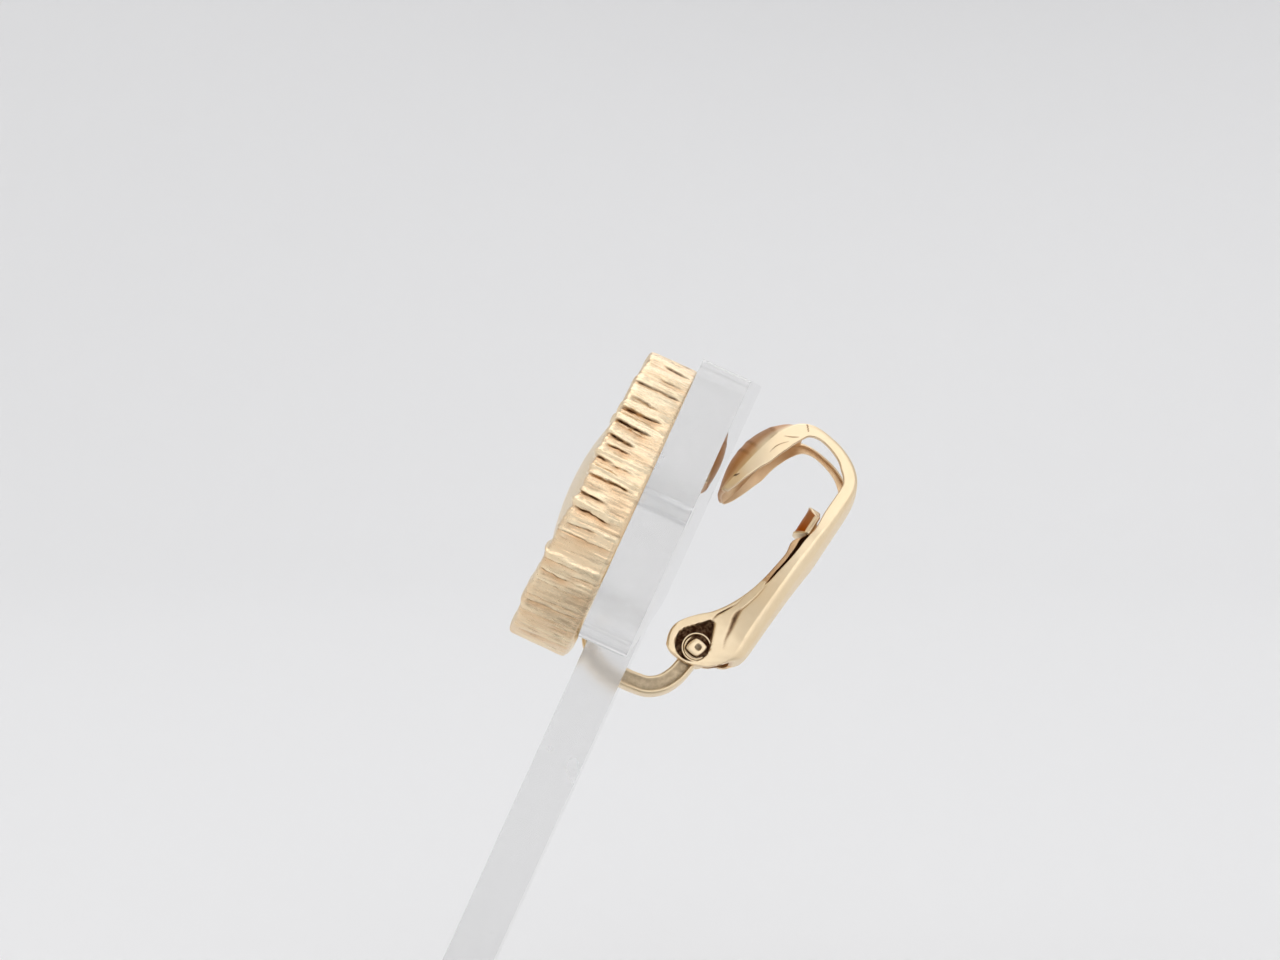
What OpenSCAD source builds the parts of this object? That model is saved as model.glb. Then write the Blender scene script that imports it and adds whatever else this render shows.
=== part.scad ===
// Clip-on earring, a bark-fluted button on a sprung lever clip, worn by a clear
// T-shaped display stand. Millimetres, +Z up. The earring's front looks towards -Y
// and a little up, and the origin is the middle of the stand's underside.
// The earring's parts are drawn in its own frame: X across the clip, Y straight
// back from the button's flat back, and Z up along the button from its centre.
// Tables of the clip's side view hold [distance behind the button, height].

/* [Button] */
// Diameter over the flutes
button_d = 22.2; // [21:0.1:23]
// Depth of the rim halfway up
rim_depth = 4.1; // [3.8:0.1:4.4]
// How much deeper the rim is at its low end, and shallower at its high end
rim_slope = 0.5; // [0:0.05:0.6]
// Width of the fluted border round the front
border_w = 2.4; // [2:0.1:3]
// Height of the smooth dome over the back
dome_h = 4.9; // [4.6:0.1:5.2]
// Radius of the dome's curve
dome_r = 17.8; // [16:0.1:20]
// Share of each groove's depth that is cut
groove_scale = 1; // [0.5:0.1:1.2]

/* [Clip] */
// Thickness of the stamped sheet
sheet = 0.4; // [0.35:0.05:0.45]
// Distance of the hinge behind the button
hinge_back = 7.85; // [7.8:0.05:7.9]
// Distance of the hinge below the button's centre
hinge_down = 7.04; // [7.02:0.01:7.06]
// Turn of the clip on the button
clip_turn = 4.6; // [3.4:0.1:4.8]
// Diameter of the hinge pin
pin_d = 1; // [0.9:0.05:1]
// Clearance of the pin in its holes, all round
pin_gap = 0.05; // [0.03:0.01:0.08]
// Width of the frame's arm and of the knuckle on its end
arm_w = 1.7; // [1.5:0.1:1.7]
// Thickness of the arm
arm_t = 1.3; // [1.2:0.05:1.35]
// Gap between the lever's ears and the knuckle, each side
ear_gap = 0.05; // [0.03:0.01:0.1]

/* [Stand] */
// Thickness of the clear sheet
plate_t = 3; // [2:0.5:3]
// Length of the crossbar
bar_l = 42; // [38:1:46]
// Height of the crossbar
bar_h = 17.5; // [16:0.5:18]
// Width of the stem
stem_w = 10; // [8:0.5:10]
// Diameter of the hook holes
hook_hole_d = 1.2; // [1:0.1:2]
// Distance of each hook hole from the crossbar's end
hook_hole_in = 5; // [4:0.5:8]
// Width of the base
base_w = 36; // [34:1:44]
// Depth of the base, front to back
base_d = 34; // [32:1:40]
// Angle that the plate leans back
lean = 24.4; // [20:0.1:28]

/* [Place on the stand] */
// Height of the button's centre over the surface that the stand is on
button_up = 38; // [36:0.5:44]
// Distance of the button's centre to the left of the stem
button_left = 12; // [12:0.5:13]
// Turn of the earring away from the plate's face
turn = 2.6; // [2.2:0.1:2.8]
// Roll of the earring on the plate
roll = 18; // [16:0.5:20]

/* [Hidden] */
$fn = 48;
gold = "#E8D0AC";
deep_gold = "#C08A48";
clear_edge = [0.86, 0.91, 0.93, 0.4];
clear_base = [0.80, 0.87, 0.90, 0.4];

button_r = button_d / 2;
rim_step = 1.5;       // degrees from one corner of the button to the next
edge_round = 0.4;     // rounding of the rim's front edge
moat_floor = 3.1;     // height of the groove between border and dome
flute_crown = 0.1;    // rise of a flute between its two grooves

// Grooves round the half of the rim that shows, which the other half repeats.
// [angle round the button, groove depth, half width in degrees]
GROOVES = [
    [63.5, 0.10, 1.6], [54.8, 0.22, 1.8], [43.3, 0.12, 1.2], [35.1, 0.22, 1.6],
    [27.0, 0.16, 1.4], [21.7, 0.28, 1.5], [15.7, 0.26, 1.3], [8.8, 0.22, 1.4],
    [5.1, 0.20, 1.2], [-0.2, 0.20, 1.5], [-6.3, 0.28, 1.4], [-10.3, 0.12, 1.0],
    [-13.7, 0.16, 1.5], [-19.5, 0.28, 1.5], [-25.2, 0.20, 1.4], [-28.9, 0.12, 1.0],
    [-40.1, 0.18, 1.5], [-45.4, 0.20, 1.4], [-50.1, 0.10, 1.0], [-59.8, 0.20, 2.0],
    [-67.2, 0.14, 1.4], [-77.4, 0.14, 1.6], [-83.0, 0.14, 1.6], [-97.0, 0.16, 1.8]
];
TURNED = [for (g = GROOVES) [g[0] + 180, g[1], g[2]]];
RIM_CUTS = concat(GROOVES, TURNED);

// The lever's back line, from its closed lower end up over the curl to the pad's tip
LEVER_BACK = [
    [9.80, -7.66], [10.35, -7.15], [10.95, -6.48], [11.36, -5.50], [11.80, -3.60],
    [12.25, -1.40], [12.75, 1.00], [13.15, 3.20], [13.50, 5.20], [13.70, 6.80],
    [13.58, 8.00], [13.05, 8.85], [11.75, 10.00], [10.50, 10.55], [9.25, 10.68],
    [8.15, 10.28], [7.10, 9.20], [6.40, 7.80], [5.82, 6.20], [5.33, 4.80],
    [4.85, 3.95]
];
// The free edge of its sides, from the pad's tip round the curl to the spring's end
LEVER_INNER = [
    [5.60, 3.95], [6.10, 4.60], [6.46, 5.22], [7.08, 6.30], [7.66, 7.38],
    [8.20, 8.30], [8.80, 9.35], [9.25, 9.82], [9.95, 9.95], [10.65, 9.78],
    [11.33, 9.42], [11.95, 8.98], [12.42, 8.52], [12.75, 8.05], [12.88, 7.45],
    [12.80, 6.85], [12.58, 6.20], [12.35, 5.10], [12.05, 3.25]
];
// and from there down the body and round the ears
LEVER_EARS = [
    [11.20, 2.75], [10.95, 1.95], [10.64, 0.46], [10.21, -0.79], [9.64, -2.14],
    [8.77, -3.34], [7.89, -4.25], [6.41, -5.46], [5.90, -6.15], [5.72, -7.00],
    [5.78, -7.65], [6.05, -8.12], [6.65, -8.32], [7.50, -8.44], [8.35, -8.28],
    [9.15, -8.02]
];
ear_x = arm_w / 2 + ear_gap + sheet;    // outside of the lever's ears
// Half widths seen from behind: [height, half width]
BODY_W = [
    [-9.2, ear_x], [-6.2, ear_x], [-4.8, 1.58], [-3.0, 2.05], [-1.5, 2.38],
    [0.0, 2.58], [2.4, 2.72], [5.0, 2.75], [8.0, 2.80], [11.2, 2.85]
];
PAD_W = [
    [3.95, 1.85], [4.15, 2.10], [5.5, 2.55], [7.0, 2.80], [9.0, 2.88], [11.2, 2.85]
];
ears_rows = 5;        // rows of BODY_W below the pad
pad_front = 9;        // distance behind the button where the body meets the pad
lever_front = 4;      // nothing of the lever lies in front of this,
lever_back = 15;      // behind this,
lever_low = -9.6;     // below this
lever_side = 4;       // or farther to a side than this
arm_notch = -7.15;    // its back is cut away below this, so that the arm can pass
knuckle_r = 1.15;

// Long opening in the curl: [lowest, highest] on each axis
WINDOW = [[-2.1, 2.1], [8.5, lever_back], [6.3, 12]];

// The pad's face swells towards the plate as a turned shape on a leaning axis
PAD_SWELL = [
    [2.81, -1.00], [3.14, -0.32], [3.46, 0.50], [3.78, 1.47], [3.90, 2.20],
    [3.80, 3.00], [3.48, 4.00], [3.13, 4.85]
];
swell_at = [7.9, 3.6];
swell_lean = 15.5;
SWELL_SIDE = [[4.2, 3.95], [5.35, 3.95], [5.9, 6.3], [7.3, 8.9], [7.8, 10.2], [4.2, 10.2]];

// The pressed hollow round the pin's head, drawn from the hinge
dish_depth = 0.15;
dish_r = 1.22;
dish_at = [-0.13, 0.10];
DISH_POINT = [
    [-1.25, 0.60], [-0.50, 1.70], [0.15, 2.20], [0.45, 1.95], [0.60, 1.20], [1.00, 0.60]
];
eyelet_r = 1;
eyelet_wall = 0.16;
eyelet_h = 0.2;
head_r = 0.72;
head_h = 0.2;
head_gap = 0.03;
head_dent = [0.46, 0.42, 0.1];

// The frame's arm, from the foot round below to the knuckle
ARM_LINE = [
    [0.55, -6.50], [0.65, -8.60], [1.30, -9.80], [2.50, -10.50], [3.80, -10.80],
    [4.90, -10.82], [5.80, -10.70], [6.60, -10.20], [7.15, -9.45], [7.48, -8.60],
    [7.85, -7.04]
];
foot_w = 3;
foot_top = 3.5;       // upper end of the foot
foot_low = -8.6;
foot_t = 0.6;
foot_h = 1.05;        // height of the foot's turned-up sides
foot_sink = 0.1;      // depth of the solder joint

// The flat spring inside the lever, and its bent end
SPRING_LINE = [
    [8.90, -5.70], [9.70, -4.30], [10.60, -2.10], [11.25, 0.30], [11.65, 2.20],
    [11.80, 3.60]
];
spring_t = 0.3;
spring_w = 1.6;
TAB = [[10.70, 3.07], [11.83, 3.00], [11.87, 5.23], [10.88, 5.35]];
tab_w = 2.9;
tab_round = 0.3;
tab_curve = 2.4;      // radius across the tab's front
tab_lean = 5.1;

// Planes of the plate in front of and behind it, from the button's centre
plate_front = 1.35;
plate_top = 11.95;
plate_corner = 1;
stem_l = 60;          // before its lower end is cut level
base_gap = 0.05;      // glue line under the plate
base_corner = 2;
button_at = [-button_left, 1, button_up];

hinge = [hinge_back, -hinge_down];
hole_r = pin_d / 2 + pin_gap;

// Point at u, from 0 to 1, between b and c on a smooth curve through a, b, c and d
function between(a, b, c, d, u) =
    0.5 * (2 * b + (c - a) * u + (2 * a - 5 * b + 4 * c - d) * u * u
    + (3 * b - a - 3 * c + d) * u * u * u);

// Smooth curve through a table's points, with n steps from one to the next
function smooth(t, n) = let (last = len(t) - 1) concat(
    [for (i = [0:last - 1]) for (k = [0:n - 1])
        between(t[max(i - 1, 0)], t[i], t[i + 1], t[min(i + 2, last)], k / n)],
    [t[last]]);

// A curve moved d to its left
function shifted(c, d) = [for (i = [0:len(c) - 1])
    let (v = c[min(i + 1, len(c) - 1)] - c[max(i - 1, 0)])
    c[i] + d * [-v[1], v[0]] / norm(v)];

function reversed(c) = [for (i = [len(c) - 1:-1:0]) c[i]];

// Outline on both sides of the middle from [height, half width] rows
function both_sides(t, inset) = concat(
    [for (r = t) [r[1] - inset, r[0]]],
    [for (r = reversed(t)) [inset - r[1], r[0]]]);

// A convex outline with its corners rounded to radius r
function rounded(p, r, n) = [for (i = [0:len(p) - 1])
    let (a = p[(i + len(p) - 1) % len(p)], b = p[i], c = p[(i + 1) % len(p)],
        u = (a - b) / norm(a - b), v = (c - b) / norm(c - b),
        half = acos(u * v) / 2, mid = (u + v) / norm(u + v),
        centre = b + mid * r / sin(half), start = atan2(-mid[1], -mid[0]),
        side = sign(u[0] * v[1] - u[1] * v[0]))
    for (k = [0:n]) let (w = start + side * (90 - half) * (1 - 2 * k / n))
    centre + r * [cos(w), sin(w)]];

// How far the nearest way round from one angle to another is
function apart(a, b) = abs((a - b + 540) % 360 - 180);

// Relief of the rim at an angle, below its widest
function relief(angle) = groove_scale * max([for (g = RIM_CUTS)
    g[1] * exp(-pow(apart(angle, g[0]) / g[2], 2))])
    + flute_crown * (1 - min(1, min([for (g = RIM_CUTS) apart(angle, g[0])]) / 3));

// Depth of the rim at an angle, deepest at its low end seen from the near side
function depth_at(angle) = rim_depth - rim_slope * sin(angle + 15)
    + 0.06 * sin(5 * angle) + 0.05 * sin(11 * angle + 40);

function dome_at(r) = dome_h - dome_r + sqrt(dome_r * dome_r - r * r);

// Rings of the button from its back out to the rim and in to the dome's top:
// [radius, distance in front of the back] at an angle
function section(angle) = let (
        cut = relief(angle), deep = depth_at(angle),
        rim = button_r - cut, inner = button_r - border_w)
    [[rim - 0.15, 0], [rim, 0.15], [rim, deep - edge_round],
        [rim - 0.3 * edge_round, deep - 0.3 * edge_round],
        [rim - edge_round, deep - 0.4 * cut], [inner + 0.6, deep - 0.2 * cut],
        [inner + 0.1, deep - 0.35], [inner - 0.3, moat_floor],
        [inner - 0.8, dome_at(inner - 0.8)], [5.6, dome_at(5.6)],
        [3.8, dome_at(3.8)], [1.9, dome_at(1.9)]];

// Extrusions of a side view across the clip, and of a back view along it
module across(x0, x1) {
    translate([x0, 0, 0]) rotate([90, 0, 90]) linear_extrude(x1 - x0) children();
}
module along(y0, y1) {
    translate([0, y1, 0]) rotate([90, 0, 0]) linear_extrude(y1 - y0) children();
}
// A cylinder across the clip, round the hinge
module on_hinge(r, x0, x1) {
    translate([x0, hinge[0], hinge[1]]) rotate([0, 90, 0]) cylinder(r = r, h = x1 - x0);
}
// The earring's place on the stand
module on_stand() {
    translate(button_at) rotate([-lean, 0, 0]) rotate([0, 0, turn]) rotate([0, -roll, 0])
        children();
}
// The clip's place on the earring, turned about the hinge's middle
module on_clip() {
    translate([0, hinge_back, 0]) rotate([0, 0, -clip_turn]) translate([0, -hinge_back, 0])
        children();
}
// The plate's own frame, with its front face at Y = 0
module on_plate() {
    translate(button_at) rotate([-lean, 0, 0]) translate([0, plate_front, 0]) children();
}

// The cast button as one closed surface
module casting() {
    corners = 360 / rim_step;
    rows = len(section(0));
    points = concat(
        [for (i = [0:corners - 1]) let (a = i * rim_step) for (s = section(a))
            [s[0] * cos(a), -s[1], s[0] * sin(a)]],
        [[0, 0, 0], [0, -dome_h, 0]]);
    back = corners * rows;
    faces = concat(
        [for (i = [0:corners - 1]) for (j = [0:rows - 2])
            let (p = i * rows + j, q = ((i + 1) % corners) * rows + j)
            [p, p + 1, q + 1, q]],
        [for (i = [0:corners - 1]) [back, i * rows, ((i + 1) % corners) * rows]],
        [for (i = [0:corners - 1])
            [back + 1, ((i + 1) % corners) * rows + rows - 1, i * rows + rows - 1]]);
    polyhedron(points, faces);
}

// The frame soldered to the casting: foot, arm and knuckle
module foot() {
    translate([-foot_w / 2, -foot_sink, foot_low])
        cube([foot_w, foot_t + foot_sink, foot_top - foot_low]);
    for (side = [-1, 1])
        translate([side * (foot_w / 2 - foot_t / 2) - foot_t / 2, 0, foot_low])
            cube([foot_t, foot_h, foot_top - foot_low]);
    translate([0, foot_t, foot_top]) rotate([90, 0, 0])
        cylinder(d = foot_w, h = foot_t + foot_sink);
}

module arm() {
    line = smooth(ARM_LINE, 5);
    across(-arm_w / 2, arm_w / 2)
        polygon(concat(shifted(line, arm_t / 2), reversed(shifted(line, -arm_t / 2))));
    on_hinge(knuckle_r, -arm_w / 2, arm_w / 2);
}

module button() {
    color(gold) on_stand() difference() {
        union() {
            casting();
            foot();
            on_clip() arm();
        }
        on_clip() on_hinge(hole_r, -ear_x, ear_x);
    }
}

// The lever's side view filled in, limited to its widths from behind
module lever_form(inset) {
    intersection() {
        across(-lever_side, lever_side) children();
        union() {
            along(pad_front, lever_back) polygon(both_sides(BODY_W, inset));
            along(lever_front, pad_front + 0.01)
                polygon(both_sides([for (i = [0:ears_rows]) BODY_W[i]], inset));
            along(lever_front, pad_front + 0.01) polygon(both_sides(PAD_W, inset));
        }
    }
}

module pad_swell(inset) {
    ends = [PAD_SWELL[0][1], PAD_SWELL[len(PAD_SWELL) - 1][1]];
    intersection() {
        translate([0, swell_at[0], swell_at[1]]) rotate([-swell_lean, 0, 0]) rotate_extrude()
            polygon(concat([[0, ends[0]]], [for (p = PAD_SWELL) p - [inset, 0]], [[0, ends[1]]]));
        across(-lever_side, lever_side) polygon(SWELL_SIDE);
        along(lever_front, pad_front) polygon(both_sides(PAD_W, inset));
    }
}

module ear_dish(side) {
    floor_x = ear_x - dish_depth;
    translate([side > 0 ? floor_x : -floor_x - 1, hinge[0], hinge[1]]) rotate([90, 0, 90])
        linear_extrude(1) {
            translate(dish_at) circle(r = dish_r);
            polygon(DISH_POINT);
        }
}

module eyelet(side) {
    low = ear_x - dish_depth - 0.1;
    high = ear_x - dish_depth + eyelet_h;
    x0 = side > 0 ? low : -high;
    difference() {
        on_hinge(eyelet_r, x0, x0 + high - low);
        on_hinge(eyelet_r - eyelet_wall, -lever_side, lever_side);
    }
}

module lever() {
    back = smooth(LEVER_BACK, 4);
    edge = concat(smooth(LEVER_INNER, 4), smooth(LEVER_EARS, 4));
    inside = shifted(back, sheet);
    color(gold) on_stand() on_clip() difference() {
        union() {
            difference() {
                union() {
                    lever_form(0) polygon(concat(back, edge));
                    pad_swell(0);
                }
                lever_form(sheet) polygon(concat([[inside[0][0], lever_low]], inside,
                    [[inside[len(inside) - 1][0], lever_low]]));
                pad_swell(sheet);
                translate([for (w = WINDOW) w[0]]) cube([for (w = WINDOW) w[1] - w[0]]);
                translate([sheet - ear_x, pad_front, lever_low])
                    cube([2 * (ear_x - sheet), lever_back - pad_front, arm_notch - lever_low]);
                for (side = [-1, 1]) ear_dish(side);
            }
            for (side = [-1, 1]) eyelet(side);
        }
        on_hinge(hole_r, -lever_side, lever_side);
    }
}

module hinge_pin() {
    low = ear_x - dish_depth + head_gap;
    color(gold) on_stand() on_clip() difference() {
        union() {
            on_hinge(pin_d / 2, -low - head_h / 2, low + head_h / 2);
            on_hinge(head_r, low, low + head_h);
            on_hinge(head_r, -low - head_h, -low);
        }
        for (side = [-1, 1])
            translate([side * (low + head_h), hinge[0], hinge[1]]) rotate([20, 0, 0])
                cube([2 * head_dent[2], head_dent[0], head_dent[1]], center = true);
    }
}

module leaf_spring() {
    line = smooth(SPRING_LINE, 4);
    color(deep_gold) on_stand() on_clip() {
        across(-spring_w / 2, spring_w / 2)
            polygon(concat(shifted(line, spring_t / 2), reversed(shifted(line, -spring_t / 2))));
        intersection() {
            across(-tab_w / 2, tab_w / 2) polygon(rounded(TAB, tab_round, 5));
            translate([0, TAB[0][0] + tab_curve, TAB[0][1]]) rotate([-tab_lean, 0, 0])
                cylinder(r = tab_curve, h = 2 * lever_side, center = true);
        }
    }
}

// A flat rectangle with round corners, from its lowest corner
module round_sheet(w, h, t, r) {
    translate([r, 0, 0]) cube([w - 2 * r, h, t]);
    translate([0, r, 0]) cube([w, h - 2 * r, t]);
    for (x = [r, w - r]) for (y = [r, h - r]) translate([x, y, 0]) cylinder(r = r, h = t);
}

module stand_plate() {
    bar_x = button_left - bar_l / 2;
    low = plate_top - bar_h;
    color(clear_edge) difference() {
        on_plate() rotate([90, 0, 0]) translate([0, 0, -plate_t]) difference() {
            union() {
                translate([bar_x, low, 0]) round_sheet(bar_l, bar_h, plate_t, plate_corner);
                translate([button_left - stem_w / 2, low - stem_l, 0])
                    cube([stem_w, stem_l + plate_corner, plate_t]);
            }
            for (side = [-1, 1])
                translate([button_left + side * (bar_l / 2 - hook_hole_in), low + bar_h / 2, -1])
                    cylinder(d = hook_hole_d, h = plate_t + 2, $fn = 24);
        }
        translate([-base_w, -base_d, plate_t + base_gap - stem_l])
            cube([2 * base_w, 2 * base_d, stem_l]);
    }
}

module stand_base() {
    color(clear_base) translate([-base_w / 2, -base_d / 2, 0])
        round_sheet(base_w, base_d, plate_t, base_corner);
}

button();
hinge_pin();
lever();
leaf_spring();
stand_plate();
stand_base();
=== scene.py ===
# %% [markdown]
# # A clip-on earring on a clear display stand
# The real thing is a cast button a little over two centimetres across, plated in a
# pale gold, with a sprung lever clip soldered to its back. It bites on the crossbar of
# a T-shaped sheet of clear acrylic. Every piece below is worked out in millimetres in
# its own frame and then carried to its place on the stand, so that a number here can be
# checked with callipers.

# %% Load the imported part
import bmesh
import bpy
import numpy as np
from mathutils import Matrix, Vector


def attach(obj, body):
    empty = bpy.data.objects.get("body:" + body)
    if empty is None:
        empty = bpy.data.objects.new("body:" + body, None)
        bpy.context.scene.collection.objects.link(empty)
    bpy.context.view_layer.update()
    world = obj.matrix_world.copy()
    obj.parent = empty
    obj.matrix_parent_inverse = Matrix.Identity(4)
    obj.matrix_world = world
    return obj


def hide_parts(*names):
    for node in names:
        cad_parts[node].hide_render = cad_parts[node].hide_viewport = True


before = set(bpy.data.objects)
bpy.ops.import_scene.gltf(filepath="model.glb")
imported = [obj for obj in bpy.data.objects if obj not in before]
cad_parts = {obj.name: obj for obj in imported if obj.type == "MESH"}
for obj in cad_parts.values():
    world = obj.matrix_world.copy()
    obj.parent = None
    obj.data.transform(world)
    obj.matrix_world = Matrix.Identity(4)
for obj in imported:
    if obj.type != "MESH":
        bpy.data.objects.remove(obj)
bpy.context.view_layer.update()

MM = 0.001

# %% [markdown]
# ## Three frames
# The button is drawn with X across it towards the camera's side, Y straight back from
# its flat back, and Z up along it. The clip is turned a few degrees on the button, and
# the whole earring is turned and rolled on the leaning plate. Each of these is one
# rotation matrix, applied to whole arrays of points at once.

# %% Frames of the earring, the clip and the plate
# In degrees: how far the plate leans back, how far the earring is turned off its face and
# rolled on it, and how far the clip is turned on the button
LEAN, TURN, ROLL, CLIP_TURN = 24.4, 2.6, 18.0, 4.6
# The middle of the button's back, from the middle of the stand's underside
BUTTON_AT = np.array([-12.0, 1.0, 38.0])
# The hinge's distance behind the button, and its height from the button's middle
HINGE = np.array([7.85, -7.04])


def rotation(axis, degrees):
    """Matrix that turns about one axis: the cosine stays, the sine swaps the other two."""
    return np.array(Matrix.Rotation(np.radians(degrees), 3, axis))


ON_PLATE = rotation("X", -LEAN)
ON_EARRING = ON_PLATE @ rotation("Z", TURN) @ rotation("Y", -ROLL)
ON_CLIP = rotation("Z", -CLIP_TURN)
CLIP_CENTRE = np.array([0.0, HINGE[0], 0.0])


def earring_to_world(points):
    """Turns earring points with the earring, moves them to the button's centre, in metres."""
    return (points @ ON_EARRING.T + BUTTON_AT) * MM


def clip_to_earring(points):
    """Turns clip points about the hinge's middle, into the earring's frame."""
    return (points - CLIP_CENTRE) @ ON_CLIP.T + CLIP_CENTRE


def clip_to_world(points):
    """Carries clip points with the clip, and then with the earring."""
    return earring_to_world(clip_to_earring(points))


print("hinge in the world, mm:", (clip_to_world(np.array([[0, *HINGE]])) / MM).round(2))

# %% [markdown]
# ## Helpers for surfaces
# A surface here is a grid of points: rows along the piece and columns across it. The
# faces follow from the grid's size alone. Sheet metal is two such grids, the outside
# and the inside, joined by a wall along every free edge.

# %% Smooth curves through tables
def smooth_step(x):
    """0 below 0, 1 above 1, and a smooth S between: three x squared less two x cubed."""
    x = np.clip(x, 0, 1)
    return x * x * (3 - 2 * x)


def through(table, where):
    """Smooth curve through a table's rows: each point is a cubic mix of the four rows round it."""
    t = np.asarray(table, float)
    last = len(t) - 1
    k = np.clip(np.floor(where).astype(int), 0, last - 1)
    u = (np.asarray(where, float) - k)[:, None]
    a, b, c, d = t[np.maximum(k - 1, 0)], t[k], t[k + 1], t[np.minimum(k + 2, last)]
    return 0.5 * (2 * b + (c - a) * u + (2 * a - 5 * b + 4 * c - d) * u**2
                  + (3 * b - a - 3 * c + d) * u**3)


def evenly(table, count):
    """Rows of a smooth curve, spaced evenly by the length that its first two columns cover."""
    where = np.linspace(0, len(table) - 1, 40 * len(table))
    steps = np.diff(through(table, where)[:, :2], axis=0)
    run = np.concatenate([[0], np.cumsum(np.linalg.norm(steps, axis=1))])
    return through(table, np.interp(np.linspace(0, run[-1], count), run, where))


# %% Grids, and sheets of two grids
def grid_faces(rows, columns, wrap=False):
    """Quads of a grid of points, each joining a point to its right and lower neighbours."""
    i = np.arange(rows - 1)[:, None]
    j = np.arange(columns if wrap else columns - 1)[None, :]
    a, b = i * columns + j, i * columns + (j + 1) % columns
    return np.stack([a, b, b + columns, a + columns], -1).reshape(-1, 4)


def sheet(outer, inner, kept):
    """Closed skin of a sheet: kept faces of the outer grid, the same faces of the inner one
    turned round, and a wall along each edge that has a kept face on one side only."""
    rows, columns = outer.shape[:2]
    index = np.arange(rows * columns).reshape(rows, columns)
    a, b, c, d = index[:-1, :-1], index[:-1, 1:], index[1:, 1:], index[1:, :-1]
    under = rows * columns
    quads = [np.stack([a, b, c, d], -1)[kept], np.stack([d, c, b, a], -1)[kept] + under]
    pad = np.pad(kept, 1)
    beside = {(0, 1): pad[:-2, 1:-1], (1, 2): pad[1:-1, 2:],
              (2, 3): pad[2:, 1:-1], (3, 0): pad[1:-1, :-2]}
    corners = [a, b, c, d]
    for (p, q), neighbour in beside.items():
        edge = kept & ~neighbour
        start, end = corners[p][edge], corners[q][edge]
        quads.append(np.stack([end, start, start + under, end + under], -1))
    return np.concatenate([outer.reshape(-1, 3), inner.reshape(-1, 3)]), np.concatenate(quads)


def joined(*parts):
    """Several (points, faces) shapes as one, each one's indices moved past the last one's."""
    starts = np.cumsum([0] + [len(p) for p, _ in parts[:-1]])
    return (np.concatenate([p for p, _ in parts]),
            np.concatenate([f + s for (_, f), s in zip(parts, starts)]))


def normals_of(grid):
    """Unit normals of a grid: the cross product of its steps along rows and columns."""
    n = np.cross(np.gradient(grid, axis=1), np.gradient(grid, axis=0))
    return n / np.maximum(np.linalg.norm(n, axis=-1, keepdims=True), 1e-9)


# %% [markdown]
# ### A finished piece
# Where a grid narrows to a point, its last row lies on one spot, and welding closes that
# pole. A piece also needs its finish, its place in world coordinates, and the body of the
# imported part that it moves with.

# %% From points and quads to a piece
# Points that are closer together than this, in metres, become one
WELD = 2e-4 * MM


def linked(name, data):
    """A new object of a mesh, lamp or camera, at the scene's origin."""
    obj = bpy.data.objects.new(name, data)
    bpy.context.scene.collection.objects.link(obj)
    return obj


def smooth_mesh(name, points, faces, finish):
    """A mesh of points and quads, with one finish, shaded smooth."""
    mesh = bpy.data.meshes.new(name)
    mesh.from_pydata(points.tolist(), [], faces.tolist())
    mesh.polygons.foreach_set("use_smooth", np.ones(len(mesh.polygons), bool))
    mesh.materials.append(finish)
    return mesh


def weld(mesh):
    """Makes points that meet one, and turns the faces of each closed skin outward."""
    skin = bmesh.new()
    skin.from_mesh(mesh)
    bmesh.ops.remove_doubles(skin, verts=skin.verts, dist=WELD)
    bmesh.ops.recalc_face_normals(skin, faces=skin.faces)
    skin.to_mesh(mesh)
    skin.free()


def piece(name, shape, place, finish, body, replaced, marks, sharp=50):
    """An object from (points, quads), carried to the world by place and tied to its body.
    marks are named values per point that the finish reads. An edge that is bent more
    than sharp degrees keeps its crease."""
    points, faces = shape
    used, faces = np.unique(faces, return_inverse=True)
    world = place(points[used])
    mesh = smooth_mesh(name, world, faces.reshape(-1, 4), finish)
    for mark, values in marks.items():
        layer = mesh.attributes.new(mark, "FLOAT", "POINT")
        layer.data.foreach_set("value", np.asarray(values, np.float32)[used])
    mesh.validate()
    weld(mesh)
    mesh.update()
    mesh.set_sharp_from_angle(angle=np.radians(sharp))
    obj = linked(name, mesh)
    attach(obj, body)
    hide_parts(*replaced)
    print(f"{name}: {len(mesh.polygons)} faces,", (np.ptp(world, axis=0) / MM).round(2), "mm")
    return obj


# %% [markdown]
# ## Gold finishes
# The button is cast and the clip is stamped from sheet, both plated in pale gold. Plating
# is a metal surface through and through: its colour is the colour of its reflections.
# Cast flutes keep fine grain and a brown painted shade in their grooves, the stamped sheet
# is smoother, and the spring's tab has a deeper painted reflection of the button's gold. One
# function builds all three finishes, because they differ only in colours, roughness and grain.

# %% Colours and the node helper
def hex_colour(code):
    """sRGB hex to linear light: a straight foot, then the power 2.4 of the shifted value."""
    srgb = np.array([int(code[k:k + 2], 16) for k in (1, 3, 5)]) / 255
    linear = np.where(srgb <= 0.04045, srgb / 12.92, ((srgb + 0.055) / 1.055) ** 2.4)
    return (*linear.tolist(), 1.0)


def add(tree, kind, inputs=(), **settings):
    """Adds a node, sets its properties, and sets each input or links it to a given output."""
    made = tree.nodes.new("ShaderNode" + kind)
    for name, value in settings.items():
        setattr(made, name, value)
    for name, value in dict(inputs).items():
        if isinstance(value, bpy.types.NodeSocket):
            tree.links.new(value, made.inputs[name])
        else:
            made.inputs[name].default_value = value
    return made


def new_finish(name):
    """An empty node material and its output node."""
    finish = bpy.data.materials.new(name)
    finish.use_nodes = True
    finish.node_tree.nodes.clear()
    return finish, finish.node_tree, add(finish.node_tree, "OutputMaterial")


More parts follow.
